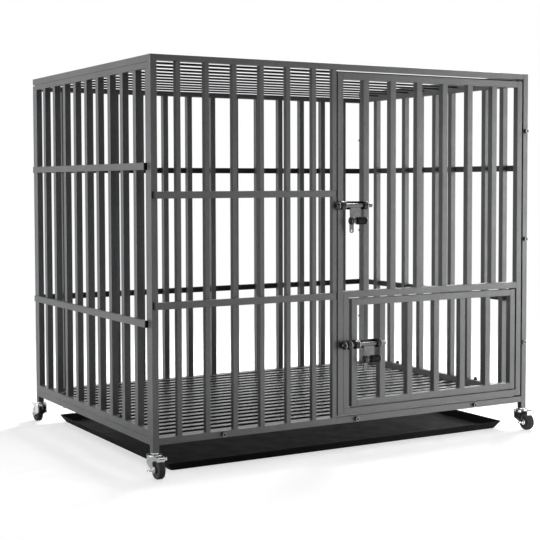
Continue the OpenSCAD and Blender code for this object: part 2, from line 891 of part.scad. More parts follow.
module fork() {
    color(CHROME) difference() {
        union() {
            for (x = [-fork_w / 2, fork_in / 2])
                translate([x, 0, 0]) rotate([90, 0, 90]) linear_extrude(fork_t) leg_outline();
            for (x = [-fork_w / 2 - lip, fork_in / 2])
                translate([x, -leg_front, leg_low])
                    cube([fork_t + lip, lip, brake_z - 2 * ear - leg_low]);
            difference() {
                translate([0, 0, cup_z]) cylinder(h = fork_top - cup_z, r = cup_r);
                translate([0, 0, cup_z - cut])
                    cylinder(h = fork_bottom - cup_z + cut, r = cup_r - fork_t);
            }
        }
        translate([0, 0, fork_bottom - cut]) cylinder(h = fork_t + 2 * cut, r = stem_r + run);
        rod_x([-fork_w / 2 - cut, -trail, wheel_r], fork_w + 2 * cut, axle_r + run);
        rod_x([-fork_w / 2 - cut, brake_y, brake_z], fork_w + 2 * cut, brake_pin_r + run);
    }
}

// Axle bolt with its hexagon head, its nut and a threaded end past the nut
module axle() {
    thread = fork_w / 2 + axle_nut_t + axle_end;
    color(CHROME) {
        rod_x([-thread, -trail, wheel_r], thread + fork_w / 2, axle_r);
        for (x = [-fork_w / 2 - axle_nut_t, fork_w / 2])
            translate([x, -trail, wheel_r]) rotate([0, 90, 0])
                cylinder(h = axle_nut_t, r = axle_nut_r, $fn = 6);
    }
}

// Wheel with a rounded tread, dished faces and a hub as wide as the fork
module wheel() {
    half = wheel_w / 2;
    shoulder = 3;
    rim = wheel_r - 6;
    color(BLACK) translate([0, -trail, wheel_r]) rotate([0, 90, 0]) rotate_extrude()
        polygon([
            [axle_r + run, -hub_w / 2],
            [hub_r, -hub_w / 2],
            [hub_r, -half + 2],
            [rim, -half + 2],
            [rim, -half],
            [wheel_r - shoulder, -half],
            [wheel_r, -half + shoulder],
            [wheel_r, half - shoulder],
            [wheel_r - shoulder, half],
            [rim, half],
            [rim, half - 2],
            [hub_r, half - 2],
            [hub_r, hub_w / 2],
            [axle_r + run, hub_w / 2],
        ]);
}

// Brake lever: pin between the fork's legs, shoe over the tread and pedal
module brake() {
    shoe = wheel_r + shoe_gap;
    foot = [-trail - shoe * cos(shoe_angle), wheel_r + shoe * sin(shoe_angle)];
    color(CHROME) {
        rod_x([-fork_w / 2, brake_y, brake_z], fork_w, brake_pin_r);
        translate([-pedal_w / 2, brake_y - pedal_l, brake_z - pedal_t / 2])
            cube([pedal_w, pedal_l, pedal_t]);
        translate([-pedal_w / 2, foot[0], foot[1]]) cube([pedal_w, pedal_t, brake_z - foot[1]]);
    }
}

module caster_fl_fork() { at_caster(0) fork(); }
module caster_fl_axle() { at_caster(0) axle(); }
module caster_fl_wheel() { at_caster(0) wheel(); }
module caster_fl_brake() { at_caster(0) brake(); }
module caster_fr_fork() { at_caster(1) fork(); }
module caster_fr_axle() { at_caster(1) axle(); }
module caster_fr_wheel() { at_caster(1) wheel(); }
module caster_fr_brake() { at_caster(1) brake(); }
module caster_bl_fork() { at_caster(2) fork(); }
module caster_bl_axle() { at_caster(2) axle(); }
module caster_bl_wheel() { at_caster(2) wheel(); }
module caster_bl_brake() { at_caster(2) brake(); }
module caster_br_fork() { at_caster(3) fork(); }
module caster_br_axle() { at_caster(3) axle(); }
module caster_br_wheel() { at_caster(3) wheel(); }
module caster_br_brake() { at_caster(3) brake(); }

// A block whose sides slope out from its foot to its top
module flared(foot, top, z0, z1) {
    thin = 0.01;
    hull() {
        translate([-foot[0], -foot[1], z0]) cube([2 * foot[0], 2 * foot[1], thin]);
        translate([-top[0], -top[1], z1 - thin]) cube([2 * top[0], 2 * top[1], thin]);
    }
}

// Loose tray of folded sheet that stands on the ground below the floor
module tray() {
    rim = [crate_l / 2 - tray_end_gap, crate_w / 2 - tray_side_gap];
    foot = rim - [tray_flare, tray_flare];
    skin = [tray_t, tray_t];
    color(TRAY) difference() {
        flared(foot, rim, 0, tray_h);
        flared(foot - skin, rim - skin, tray_t, tray_h + cut);
    }
}

front_posts();
front_rails();
front_jamb();
front_bars();
front_cross_rails();
back_posts();
back_rails();
back_bars();
back_cross_rails();
side_uprights();
side_rails();
left_bars();
right_bars();
side_cross_rails();
cross_rail_caps();
roof_tubes();
roof_slats();
floor_tubes();
floor_bars();
door_stiles();
door_inner_stile();
door_rails();
door_bars();
door_pivots();
small_door_stiles();
small_door_rails();
small_door_bars();
small_door_pivots();
upper_latch_strip();
upper_keeper();
upper_bolt();
upper_grip();
lower_latch_strip();
lower_keeper();
lower_bolt();
lower_grip();
panel_screws();
panel_nuts();
side_bolts();
side_nuts();
caster_stems();
caster_fl_fork();
caster_fl_axle();
caster_fl_wheel();
caster_fl_brake();
caster_fr_fork();
caster_fr_axle();
caster_fr_wheel();
caster_fr_brake();
caster_bl_fork();
caster_bl_axle();
caster_bl_wheel();
caster_bl_brake();
caster_br_fork();
caster_br_axle();
caster_br_wheel();
caster_br_brake();
tray();
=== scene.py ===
import json
import math

import bmesh
import bpy
from mathutils import Matrix, Vector


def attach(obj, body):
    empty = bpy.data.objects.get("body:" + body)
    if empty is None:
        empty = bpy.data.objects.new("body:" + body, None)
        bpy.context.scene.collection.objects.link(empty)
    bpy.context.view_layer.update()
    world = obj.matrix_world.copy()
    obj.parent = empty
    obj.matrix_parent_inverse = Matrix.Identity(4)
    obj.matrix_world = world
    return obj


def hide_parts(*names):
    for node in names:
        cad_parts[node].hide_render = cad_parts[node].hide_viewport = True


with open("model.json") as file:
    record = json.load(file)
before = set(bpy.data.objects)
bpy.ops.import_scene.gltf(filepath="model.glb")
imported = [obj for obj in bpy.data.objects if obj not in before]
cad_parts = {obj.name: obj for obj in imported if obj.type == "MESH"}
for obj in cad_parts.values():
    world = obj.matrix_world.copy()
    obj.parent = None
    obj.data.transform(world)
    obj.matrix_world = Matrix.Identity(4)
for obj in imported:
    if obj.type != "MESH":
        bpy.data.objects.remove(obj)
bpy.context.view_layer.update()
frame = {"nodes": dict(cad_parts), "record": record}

NODES = frame["nodes"]
RECORD = frame["record"]
JOINTS = {joint["name"]: joint for joint in RECORD["behaviour"]["joints"]}
SLOT_OF = {part["node"]: part["material_slot"] for part in RECORD["subparts"]}
BODY_OF = {
    node: body
    for body, names in RECORD["behaviour"]["bodies"].items()
    for node in names
}
CORNERS = ("fl", "fr", "bl", "br")
MM = 0.001
X, Y = 0, 1
ALONG_X, ALONG_Z = (1, 0, 0), (0, 0, 1)
WHITE = (1, 1, 1, 1)


# Materials

# Noise stays almost wholly between these two values
NOISE_SPAN = (0.3, 0.7)
# A trace of blue in the greys of paint and chrome
COOL = 0.01


class Shading:
    """The nodes of a material or a world, with short calls to add and join them."""

    def __init__(self, owner):
        owner.use_nodes = True
        self.tree = owner.node_tree
        self.nodes = self.tree.nodes

    def add(self, kind, **values):
        node = self.nodes.new("ShaderNode" + kind)
        for key, value in values.items():
            if key in node.inputs:
                node.inputs[key].default_value = value
            else:
                setattr(node, key, value)
        return node

    def join(self, start, end):
        self.tree.links.new(start, end)

    def fade(self, value, reach, levels=(0.0, 1.0), how="SMOOTHSTEP"):
        """Goes from the first level to the second as the value crosses its reach."""
        node = self.add("MapRange", interpolation_type=how)
        names = ("From Min", "From Max", "To Min", "To Max")
        for name, number in zip(names, (*reach, *levels)):
            node.inputs[name].default_value = number
        self.join(value, node.inputs["Value"])
        return node.outputs["Result"]

    def combine(self, operation, first, second):
        node = self.add("Math", operation=operation)
        self.join(first, node.inputs[0])
        self.join(second, node.inputs[1])
        return node.outputs["Value"]

    def rays(self, *kinds):
        """1 for rays of any of these kinds, otherwise 0."""
        path = self.add("LightPath")
        found = path.outputs[kinds[0]]
        for kind in kinds[1:]:
            found = self.combine("MAXIMUM", found, path.outputs[kind])
        return found

    def y_of(self, where):
        """How far back a place lies or a direction points."""
        node = self.add("SeparateXYZ")
        self.join(where, node.inputs["Vector"])
        return node.outputs["Y"]

    def mix(self, share, first, second):
        node = self.add("MixShader")
        self.join(share, node.inputs["Fac"])
        self.join(first, node.inputs[1])
        self.join(second, node.inputs[2])
        return node.outputs["Shader"]

    def both(self, first, second):
        node = self.add("AddShader")
        self.join(first, node.inputs[0])
        self.join(second, node.inputs[1])
        return node.outputs["Shader"]


class Finish(Shading):
    """A new material on a Principled shader, with its constant values."""

    def __init__(self, name, **constants):
        self.material = bpy.data.materials.new(name)
        super().__init__(self.material)
        self.shader = self.nodes["Principled BSDF"]
        for key, value in constants.items():
            self.shader.inputs[key.replace("_", " ")].default_value = value

    def drive(self, socket, value):
        self.join(value, self.shader.inputs[socket])

    def noise(self, scale, detail, rough=0.55, stretch=None):
        where = self.add("TexCoord").outputs["Object"]
        if stretch:
            mapping = self.add("Mapping", Scale=stretch)
            self.join(where, mapping.inputs["Vector"])
            where = mapping.outputs["Vector"]
        node = self.add("TexNoise", Scale=scale, Detail=detail, Roughness=rough)
        self.join(where, node.inputs["Vector"])
        return node.outputs["Fac"]

    def ramp(self, value, stops):
        node = self.add("ValToRGB")
        while len(node.color_ramp.elements) < len(stops):
            node.color_ramp.elements.new(0.5)
        for element, (at, colour) in zip(node.color_ramp.elements, stops):
            element.position = at
            element.color = (*colour, 1)
        self.join(value, node.inputs["Fac"])
        return node.outputs["Color"]

    def spread(self, noise, low, high):
        return self.fade(noise, NOISE_SPAN, (low, high), "LINEAR")

    def multiply(self, first, second):
        node = self.add("MixRGB", blend_type="MULTIPLY", Fac=1.0)
        self.join(first, node.inputs["Color1"])
        self.join(second, node.inputs["Color2"])
        return node.outputs["Color"]

    def bump(self, *layers):
        """Layers of (height, strength, depth in mm), each on top of the one before."""
        normal = None
        for height, strength, depth in layers:
            node = self.add("Bump", Strength=strength, Distance=depth * MM)
            self.join(height, node.inputs["Height"])
            if normal is not None:
                self.join(normal, node.inputs["Normal"])
            normal = node.outputs["Normal"]
        self.drive("Normal", normal)


def grey(value, cool=0.0):
    return (value * (1 - cool), value, value * (1 + cool))


def mottle(low, high, cool=0.0):
    """Ramp stops from a darker grey to a lighter one."""
    return tuple((at, grey(tone, cool)) for at, tone in zip(NOISE_SPAN, (low, high)))


def powder_coat(name, metallic, gloss, tones, rough, texture=0.35):
    """Textured grey paint with fine flakes."""
    swing = 0.04
    m = Finish(name, Metallic=metallic, Specular_IOR_Level=gloss)
    patches = m.ramp(m.noise(5.0, 4), mottle(*tones, COOL))
    flakes = m.ramp(m.noise(1400.0, 1), ((0.35, grey(0.80)), (0.5, grey(1.0)), (0.68, grey(1.22))))
    specks = m.ramp(m.noise(420.0, 2), ((0.32, grey(0.86)), (0.5, grey(1.0)), (0.68, grey(1.14))))
    m.drive("Base Color", m.multiply(m.multiply(patches, flakes), specks))
    m.drive("Roughness", m.spread(m.noise(40.0, 3), rough - swing, rough + swing))
    m.bump((m.noise(620.0, 2), texture, 0.4), (m.noise(60.0, 2), 0.08, 1.0))
    return m.material


def drawn_steel(name, tones):
    """Bare steel with fine lines drawn along it."""
    m = Finish(name, Metallic=0.85)
    lines = m.noise(1.0, 3, rough=0.5, stretch=(40, 900, 900))
    m.drive("Base Color", m.ramp(m.noise(90.0, 5), mottle(*tones)))
    m.drive("Roughness", m.spread(lines, 0.28, 0.44))
    m.bump((lines, 0.15, 0.3))
    return m.material


def plain_finish(name, tones, patches, rough, smears, relief, cool=0.0, **constants):
    """A surface with uneven colour and gloss and a fine relief.

    patches and smears are the noise (scale, detail) of the colour and of the
    gloss. relief lists (scale, detail, strength, depth in mm).
    """
    m = Finish(name, **constants)
    m.drive("Base Color", m.ramp(m.noise(*patches), mottle(*tones, cool)))
    m.drive("Roughness", m.spread(m.noise(*smears), *rough))
    m.bump(*((m.noise(scale, detail), strength, depth)
             for scale, detail, strength, depth in relief))
    return m.material


MATERIAL = {
    "frame_paint": powder_coat(
        "frame_paint", metallic=0.5, gloss=0.5, tones=(0.140, 0.165), rough=0.40),
    "floor_paint": powder_coat(
        "floor_paint", metallic=0.5, gloss=0.5, tones=(0.150, 0.175), rough=0.28, texture=0.08),
    # A darker, matt copy of the frame paint: painted shade
    "shaded_paint": powder_coat(
        "shaded_paint", metallic=0.0, gloss=0.1, tones=(0.060, 0.072), rough=0.75),
    "bolt_steel": drawn_steel("bolt_steel", tones=(0.12, 0.17)),
    # Lighter steel for the screw heads' outer rings: a painted highlight
    "screw_glint_steel": drawn_steel("screw_glint_steel", tones=(0.20, 0.26)),
    # Lighter steel still for the rims of guides, keepers and grips: painted highlights
    "rim_glint_steel": drawn_steel("rim_glint_steel", tones=(0.42, 0.50)),
    "black_steel": plain_finish(
        "black_steel", tones=(0.007, 0.013), patches=(60.0, 4), rough=(0.20, 0.32),
        smears=(220.0, 3), relief=((900.0, 2, 0.2, 0.3),), Specular_IOR_Level=0.45),
    "black_plastic": plain_finish(
        "black_plastic", tones=(0.004, 0.008), patches=(50.0, 4), rough=(0.28, 0.42),
        smears=(300.0, 3), relief=((1500.0, 2, 0.25, 0.3),), Specular_IOR_Level=0.2),
    "chrome": plain_finish(
        "chrome", tones=(0.80, 0.90), patches=(35.0, 3), rough=(0.10, 0.22),
        smears=(180.0, 4), relief=((240.0, 2, 0.06, 0.4),), cool=COOL, Metallic=1.0),
    "wheel_rubber": plain_finish(
        "wheel_rubber", tones=(0.060, 0.085), patches=(120.0, 5), rough=(0.55, 0.80),
        smears=(260.0, 4), relief=((1100.0, 3, 0.35, 0.3),), Specular_IOR_Level=0.2),
    "tray_plastic": plain_finish(
        "tray_plastic", tones=(0.007, 0.010), patches=(4.0, 4), rough=(0.48, 0.60),
        smears=(18.0, 4), relief=((500.0, 2, 0.3, 0.4), (3.0, 2, 0.1, 4.0)),
        Specular_IOR_Level=0.06),
}


# Mesh helpers

# Points closer than this are one point
SAME = 1e-6
# Edges sharper than this many degrees stay sharp in the shading
CREASE, ROUND_CREASE = 35, 80
# A face whose normal has this much of an axis counts as square to it
SQUARE = 0.95
# A face whose normal has less of Z than this counts as a bar's edge
EDGE_TILT = 0.6
# A face this close to the end of a solid lies on that end
AT_END = 0.01 * MM


def solids(node):
    """The low and high corners of each separate solid of a CAD node."""
    bm = bmesh.new()
    bm.from_mesh(NODES[node].data)
    bmesh.ops.remove_doubles(bm, verts=bm.verts, dist=SAME)
    seen, found = set(), []
    for start in bm.verts:
        if start in seen:
            continue
        seen.add(start)
        waiting, points = [start], []
        while waiting:
            vert = waiting.pop()
            points.append(vert.co.copy())
            for edge in vert.link_edges:
                other = edge.other_vert(vert)
                if other not in seen:
                    seen.add(other)
                    waiting.append(other)
        low = Vector([min(p[i] for p in points) for i in range(3)])
        high = Vector([max(p[i] for p in points) for i in range(3)])
        found.append((low, high))
    bm.free()
    return sorted(found, key=lambda corners: tuple(round(c, 5) for c in corners[0]))


def longest_axis(low, high):
    size = high - low
    return max(range(3), key=lambda i: size[i])


def make(name, bm, body, slot, crease=CREASE, stands_for=(), paint=None):
    """A piece that rides on a body; its paint is the slot's own unless given."""
    bmesh.ops.recalc_face_normals(bm, faces=bm.faces)
    mesh = bpy.data.meshes.new(name)
    bm.to_mesh(mesh)
    bm.free()
    for face in mesh.polygons:
        face.use_smooth = True
    mesh.set_sharp_from_angle(angle=math.radians(crease))
    piece = bpy.data.objects.new(name, mesh)
    bpy.context.scene.collection.objects.link(piece)
    flat = piece.modifiers.new("flat_faces", "WEIGHTED_NORMAL")
    flat.keep_sharp = True
    flat.weight = 100
    mesh.materials.append(MATERIAL[paint or slot])
    if stands_for:
        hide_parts(*stands_for)
    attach(piece, body)
    return piece


def repaint(piece, paint, chosen):
    """A second paint on the faces that chosen() picks."""
    mesh = piece.data
    mesh.materials.append(MATERIAL[paint])
    for face in mesh.polygons:
        if chosen(face):
            face.material_index = 1


def from_mm(points):
    """A profile given in mm, in metres."""
    return [(radius * MM, along * MM) for radius, along in points]


def mirrored(points):
    """A profile in mm and its mirror image across the middle, in metres."""
    return from_mm(points) + from_mm((radius, -along) for radius, along in reversed(points))


def circle(radius, along, r, count=10):
    """A round profile about the point (radius, along)."""
    turns = (2 * math.pi * k / count for k in range(count))
    return [(radius + r * math.cos(t), along + r * math.sin(t)) for t in turns]


def rounded(half_a, half_b, r, count=3):
    """Points round a rectangle with rounded corners, about its middle."""
    points = []
    for k, (side_a, side_b) in enumerate(((1, 1), (-1, 1), (-1, -1), (1, -1))):
        for i in range(count + 1):
            t = math.pi / 2 * (k + i / count)
            points.append((side_a * (half_a - r) + r * math.cos(t),
                           side_b * (half_b - r) + r * math.sin(t)))
    return points


def skin(bm, rings):
    """Quads between rings of points; the first and last ring are capped."""
    rows = [[bm.verts.new(p) for p in ring] for ring in rings]
    n = len(rows[0])
    for a, b in zip(rows, rows[1:]):
        for i in range(n):
            j = (i + 1) % n
            bm.faces.new((a[i], a[j], b[j], b[i]))
    bm.faces.new(reversed(rows[0]))
    bm.faces.new(rows[-1])


def lathe(bm, profile, centre, axis, count=48, closed=True):
    """A profile of (radius, along) points, turned about an axis."""
    axis = Vector(axis).normalized()
    side = axis.orthogonal().normalized()
    up = axis.cross(side)
    rows = []
    for k in range(count):
        t = 2 * math.pi * k / count
        out = math.cos(t) * side + math.sin(t) * up
        rows.append([bm.verts.new(Vector(centre) + r * out + h * axis) for r, h in profile])
    n = len(profile)
    for k in range(count):
        a, b = rows[k], rows[(k + 1) % count]
        for i in range(n if closed else n - 1):
            j = (i + 1) % n
            bm.faces.new((a[i], b[i], b[j], a[j]))


def turned(name, profile, centre, axis, body, slot, count=48, crease=CREASE, paint=None):
    """A piece of one turned profile."""
    bm = bmesh.new()
    lathe(bm, profile, centre, axis, count)
    make(name, bm, body, slot, crease=crease, paint=paint)


# Tubes of the frame and the doors, with the radius of their corners in mm

TUBE_R = {
    "front_posts": 1.0, "front_rails": 1.0, "front_jamb": 1.0, "front_bars": 1.0,
    "front_cross_rails": 0.9, "back_posts": 1.0, "back_rails": 1.0, "back_bars": 1.0,
    "back_cross_rails": 0.9, "side_uprights": 1.0, "side_rails": 1.2, "left_bars": 1.0,
    "right_bars": 1.0, "side_cross_rails": 0.9, "roof_tubes": 1.2, "roof_slats": 0.6,
    "floor_tubes": 0.3, "floor_bars": 1.2, "door_stiles": 1.0, "door_inner_stile": 1.0,
    "door_rails": 1.0, "door_bars": 1.0, "small_door_stiles": 1.0, "small_door_rails": 1.0,
    "small_door_bars": 1.0,
}
# The roof slats take the darker shaded paint all over, painted shade for their undersides
TUBE_PAINT = {"roof_slats": "shaded_paint", "floor_bars": "floor_paint"}
TUBE_CHAMFER = 0.25 * MM


def add_tube(bm, low, high, r):
    """A closed tube with rounded corners along the longest side of its box."""
    size = high - low
    mid = (low + high) / 2
    axis = longest_axis(low, high)
    a, b = ((1, 2), (2, 0), (0, 1))[axis]

    def ring(at, inset):
        points = []
        for u, v in rounded(size[a] / 2 - inset, size[b] / 2 - inset, r):
            p = [0, 0, 0]
            p[axis], p[a], p[b] = at, mid[a] + u, mid[b] + v
            points.append(p)
        return points

    start, end = low[axis], high[axis]
    skin(bm, [ring(start, TUBE_CHAMFER), ring(start + TUBE_CHAMFER, 0),
              ring(end - TUBE_CHAMFER, 0), ring(end, TUBE_CHAMFER)])


tubes = {}
for node, radius in TUBE_R.items():
    bm = bmesh.new()
    for low, high in solids(node):
        add_tube(bm, low, high, radius * MM)
    tubes[node] = make(node + "_tubes", bm, BODY_OF[node], SLOT_OF[node],
                       stands_for=(node,), paint=TUBE_PAINT.get(node))


def lies_on_bars(face):
    """Whether a face of a cross rail looks towards the middle of the crate."""
    across = Y if abs(face.normal.y) > abs(face.normal.x) else X
    facing = face.normal[across]
    return facing * face.center[across] < 0 and abs(facing) > SQUARE


def is_edge(face):
    """Whether a face of a floor bar looks sideways more than up or down."""
    return abs(face.normal.z) < EDGE_TILT


# Painted shade: the cross rails are dark where they lie on the bars, the floor bars on their edges
for node in ("front_cross_rails", "back_cross_rails", "side_cross_rails"):
    repaint(tubes[node], "shaded_paint", lies_on_bars)
repaint(tubes["floor_bars"], "shaded_paint", is_edge)


# Weld beads where the bars meet the rails

BEAD_R = 1.5 * MM
BEAD_PITCH = 2.4 * MM
BEAD_SIDES = 8
BEAD_DIP = 0.82
BEAD_TAPER = 0.45
BEAD_INSET = 1.6 * MM


def add_bead(bm, start, end):
    """A rippled weld bead along a straight inside corner."""
    run = end - start
    along = run / run.length
    side = along.orthogonal().normalized()
    up = along.cross(side)
    count = max(2, round(run.length / BEAD_PITCH)) * 2
    turns = [2 * math.pi * k / BEAD_SIDES for k in range(BEAD_SIDES)]
    rings = []
    for i in range(count + 1):
        taper = BEAD_TAPER if i in (0, count) else 1.0
        r = BEAD_R * taper * (1.0 if i % 2 else BEAD_DIP)
        centre = start + run * (i / count)
        rings.append([centre + r * (math.cos(t) * side + math.sin(t) * up) for t in turns])
    skin(bm, rings)


def welds(name, body, rows):
    """Beads at both ends of bars, for each node the axis they run along and
    the axis across the bar on whose two flanks they lie."""
    bm = bmesh.new()
    for node, run, across in rows:
        for low, high in solids(node):
            axis = longest_axis(low, high)
            for end in (low, high):
                for flank in (low, high):
                    a, b = low.copy(), high.copy()
                    a[axis] = b[axis] = end[axis]
                    a[across] = b[across] = flank[across]
                    a[run] += BEAD_INSET
                    b[run] -= BEAD_INSET
                    add_bead(bm, a, b)
    make(name, bm, body, "frame_paint", crease=ROUND_CREASE)


welds("frame_welds", "frame", (
    ("front_bars", Y, X), ("front_jamb", Y, X), ("back_bars", Y, X),
    ("left_bars", X, Y), ("right_bars", X, Y),
))
welds("main_door_welds", "main_door", (("door_bars", Y, X),))
welds("small_door_welds", "small_door", (("small_door_bars", Y, X),))


# Small metal pieces, with the width of their softened edges

FINE_EDGE, AXLE_EDGE, FORK_EDGE = 0.4 * MM, 0.6 * MM, 0.8 * MM
FLAT_ANGLE, SHARP_ANGLE = math.radians(0.5), math.radians(30)


def dressed(node, width):
    """A CAD node with its sharp edges rounded off."""
    bm = bmesh.new()
    bm.from_mesh(NODES[node].data)
    bmesh.ops.remove_doubles(bm, verts=bm.verts, dist=SAME)
    bmesh.ops.dissolve_limit(bm, angle_limit=FLAT_ANGLE, verts=bm.verts, edges=bm.edges)
    sharp = [edge for edge in bm.edges
             if len(edge.link_faces) == 2 and edge.calc_face_angle(0) > SHARP_ANGLE]
    bmesh.ops.bevel(bm, geom=sharp, offset=width, segments=2, profile=0.5, affect="EDGES",
                    clamp_overlap=True)
    return make(node + "_dressed", bm, BODY_OF[node], SLOT_OF[node], stands_for=(node,))


small = {
    node: dressed(node, FINE_EDGE)
    for node in ("upper_keeper", "lower_keeper", "upper_latch_strip", "lower_latch_strip",
                 "upper_bolt", "lower_bolt", "panel_screws", "panel_nuts", "side_bolts",
                 "side_nuts", "cross_rail_caps", "door_pivots", "small_door_pivots",
                 "caster_stems")
}
screws = solids("panel_screws")


def is_head_ring(face):
    """Whether a face is the flat outer end of a screw's head."""
    facing, at = face.normal.y, face.center
    if facing * at.y < SQUARE * abs(at.y):
        return False
    for low, high in screws:
        end = low.y if facing < 0 else high.y
        beside = low.x < at.x < high.x and low.z < at.z < high.z
        if beside and abs(at.y - end) < AT_END:
            return True
    return False


# The outer rings of the socket heads get lighter steel: a painted highlight
repaint(small["panel_screws"], "screw_glint_steel", is_head_ring)

for corner in CORNERS:
    dressed(f"caster_{corner}_fork", FORK_EDGE)
    dressed(f"caster_{corner}_brake", FINE_EDGE)
    dressed(f"caster_{corner}_axle", AXLE_EDGE)


# Turned-up rim of each caster's bearing cup, with a black ring in its recess

CASTER_SIDES = 64
CUP_RIM = from_mm((
    (17.0, -0.1), (17.0, 0.8), (17.4, 1.2), (18.4, 1.2), (19.0, 0.9), (19.2, 0.3),
    (19.2, -5.6), (19.0, -5.9), (18.8, -5.9), (18.8, -0.1),
))
CUP_BLACK_RING = from_mm((
    (11.6, -0.1), (11.6, 0.15), (12.2, 0.4), (16.2, 0.4), (17.1, 0.1), (17.1, -0.1),
))

for corner in CORNERS:
    body = f"caster_{corner}"
    swivel = Vector(JOINTS[body + "_swivel"]["pos_m"])
    fork_top = solids(body + "_fork")[0][1].z
    cup = (swivel.x, swivel.y, fork_top)
    turned(body + "_cup_rim", CUP_RIM, cup, ALONG_Z, body, "chrome", CASTER_SIDES)
    turned(body + "_black_ring", CUP_BLACK_RING, cup, ALONG_Z, body, "black_plastic", CASTER_SIDES)


# Light steel lips at the right ends of the bolt guides and keepers: painted highlights

GUIDE_R, GUIDE_L, KEEPER_R = 11 * MM, 14 * MM, 10 * MM
LIP_R = 1.2 * MM
# The lower keeper's inner lip lies this share of its length from its right end
INNER_LIP = 0.6


def lips(name, node, radius, ends):
    """Lips at the places that ends() gives from a node's left and right end."""
    low, high = solids(node)[0]
    bm = bmesh.new()
    for x in ends(low.x, high.x):
        centre = (x, low.y + radius, (low.z + high.z) / 2)
        lathe(bm, circle(radius - LIP_R / 2, -LIP_R, LIP_R), centre, ALONG_X)
    make(name, bm, BODY_OF[node], "bolt_steel", crease=ROUND_CREASE, paint="rim_glint_steel")


def guide_ends(left, right):
    return left + GUIDE_L, right


lips("upper_guide_lips", "upper_latch_strip", GUIDE_R, guide_ends)
lips("lower_guide_lips", "lower_latch_strip", GUIDE_R, guide_ends)
lips("upper_keeper_lip", "upper_keeper", KEEPER_R, lambda left, right: (right,))
lips("lower_keeper_lips", "lower_keeper", GUIDE_R,
     lambda left, right: (right - INNER_LIP * (right - left), right))


# Grooved grips on the bolts, each with a light steel ring round its right end,
# a painted highlight, and a black collar on the padlock ring to its left

GROOVES = 6
GROOVE_MARGIN = 4 * MM
GROOVE = from_mm(((0.0, -1.3), (0.9, -0.6), (0.9, 0.6), (0.0, 1.3)))
GRIP_CHAMFER = 1.2 * MM
GRIP_DOME = from_mm(((0.0, 3.2), (0.5, 1.8), (1.7, 0.8), (3.6, 0.3), (6.0, 0.0)))
GRIP_RING_IN, GRIP_RING_BACK = 1.0 * MM, 2.4 * MM
COLLAR = mirrored(((4.45, -3.4), (5.25, -4.2), (8.3, -4.2), (9.7, -3.6), (10.3, -2.2)))
COLLAR_GAP = 15.5 * MM


def grip_profile(r, length):
    points = [(0.0, 0.0), (r - GRIP_CHAMFER, 0.0), (r, GRIP_CHAMFER)]
    for i in range(GROOVES):
        at = GROOVE_MARGIN + (length - 2 * GROOVE_MARGIN) * i / (GROOVES - 1)
        points += [(r - depth, at + along) for depth, along in GROOVE]
    points += [(r - inset, length - back) for inset, back in GRIP_DOME]
    return points + [(0.0, length)]


for node in ("upper_grip", "lower_grip"):
    low, high = solids(node)[0]
    mid = (low + high) / 2
    r, length = (high.z - low.z) / 2, high.x - low.x
    left_end = (low.x, mid.y, mid.z)
    body = BODY_OF[node]
    bm = bmesh.new()
    lathe(bm, grip_profile(r, length), left_end, ALONG_X, closed=False)
    bmesh.ops.remove_doubles(bm, verts=bm.verts, dist=SAME / 10)
    make(node + "_ribbed", bm, body, SLOT_OF[node], stands_for=(node,))
    turned(node + "_ring", circle(r - GRIP_RING_IN, length - GRIP_RING_BACK, LIP_R), left_end,
           ALONG_X, body, "bolt_steel", crease=ROUND_CREASE, paint="rim_glint_steel")
    turned(node.replace("grip", "lock_ring"), COLLAR, (low.x - COLLAR_GAP, mid.y, mid.z),
           ALONG_X, body, "black_steel")


# Caster wheels: tyre with a crowned tread, and a dished hub

TYRE = mirrored((
    (17.2, -8.2), (18.0, -9.0), (21.0, -9.0), (22.4, -8.4), (23.5, -6.8), (23.9, -5.0),
    (24.0, -3.0),
))
HUB = mirrored((
    (3.05, -10.7), (7.2, -10.7), (8.4, -9.9), (9.0, -6.6), (15.4, -6.6), (16.4, -7.8),
    (17.3, -8.0),
))

for corner in CORNERS:
    node = f"caster_{corner}_wheel"
    spin = JOINTS[f"wheel_{corner}_spin"]
    bm = bmesh.new()
    for profile in (TYRE, HUB):
        lathe(bm, profile, spin["pos_m"], spin["axis"], CASTER_SIDES)
    make(node + "_tyre", bm, BODY_OF[node], SLOT_OF[node], stands_for=(node,))


# Tray with softened corners and a thin rim, as rings of inset, height and
# corner radius in mm, from the underside over the rim to the inner floor

tray_high = solids("tray")[0][1]
DEPTH, FLARE, SHEET = tray_high.z / MM, 16.0, 2.5
TRAY_CORNER_POINTS = 6
TRAY_RINGS = (
    (FLARE + 3.0, 0.0, 5.0),
    (FLARE + 0.6, 0.35, 6.0),
    (FLARE - 0.9, 1.6, 6.5),
    (0.7, DEPTH - 0.7, 9.0),
    (0.2, DEPTH - 0.2, 9.0),
    (0.6, DEPTH, 8.6),
    (SHEET - 0.3, DEPTH, 7.0),
    (SHEET + 0.4, DEPTH - 0.5, 7.0),
    (FLARE + SHEET - 2.0, SHEET + 2.4, 5.0),
    (FLARE + SHEET + 0.4, SHEET + 0.5, 4.5),
    (FLARE + SHEET + 3.0, SHEET, 4.0),
)


def tray_ring(inset, height, r):
    outline = rounded(tray_high.x - inset * MM, tray_high.y - inset * MM, r * MM,
                      TRAY_CORNER_POINTS)
    return [(x, y, height * MM) for x, y in outline]


bm = bmesh.new()
skin(bm, [tray_ring(*row) for row in TRAY_RINGS])
make("tray_pan", bm, "tray", "tray_plastic", stands_for=("tray",))


# Floor: to the camera it keeps the shadow near the crate and turns to plain
# white further out. To mirrors it is white far out behind the crate, with a
# painted pool of light, a glowing spot, at the right front corner. To all other
# rays it is dark.

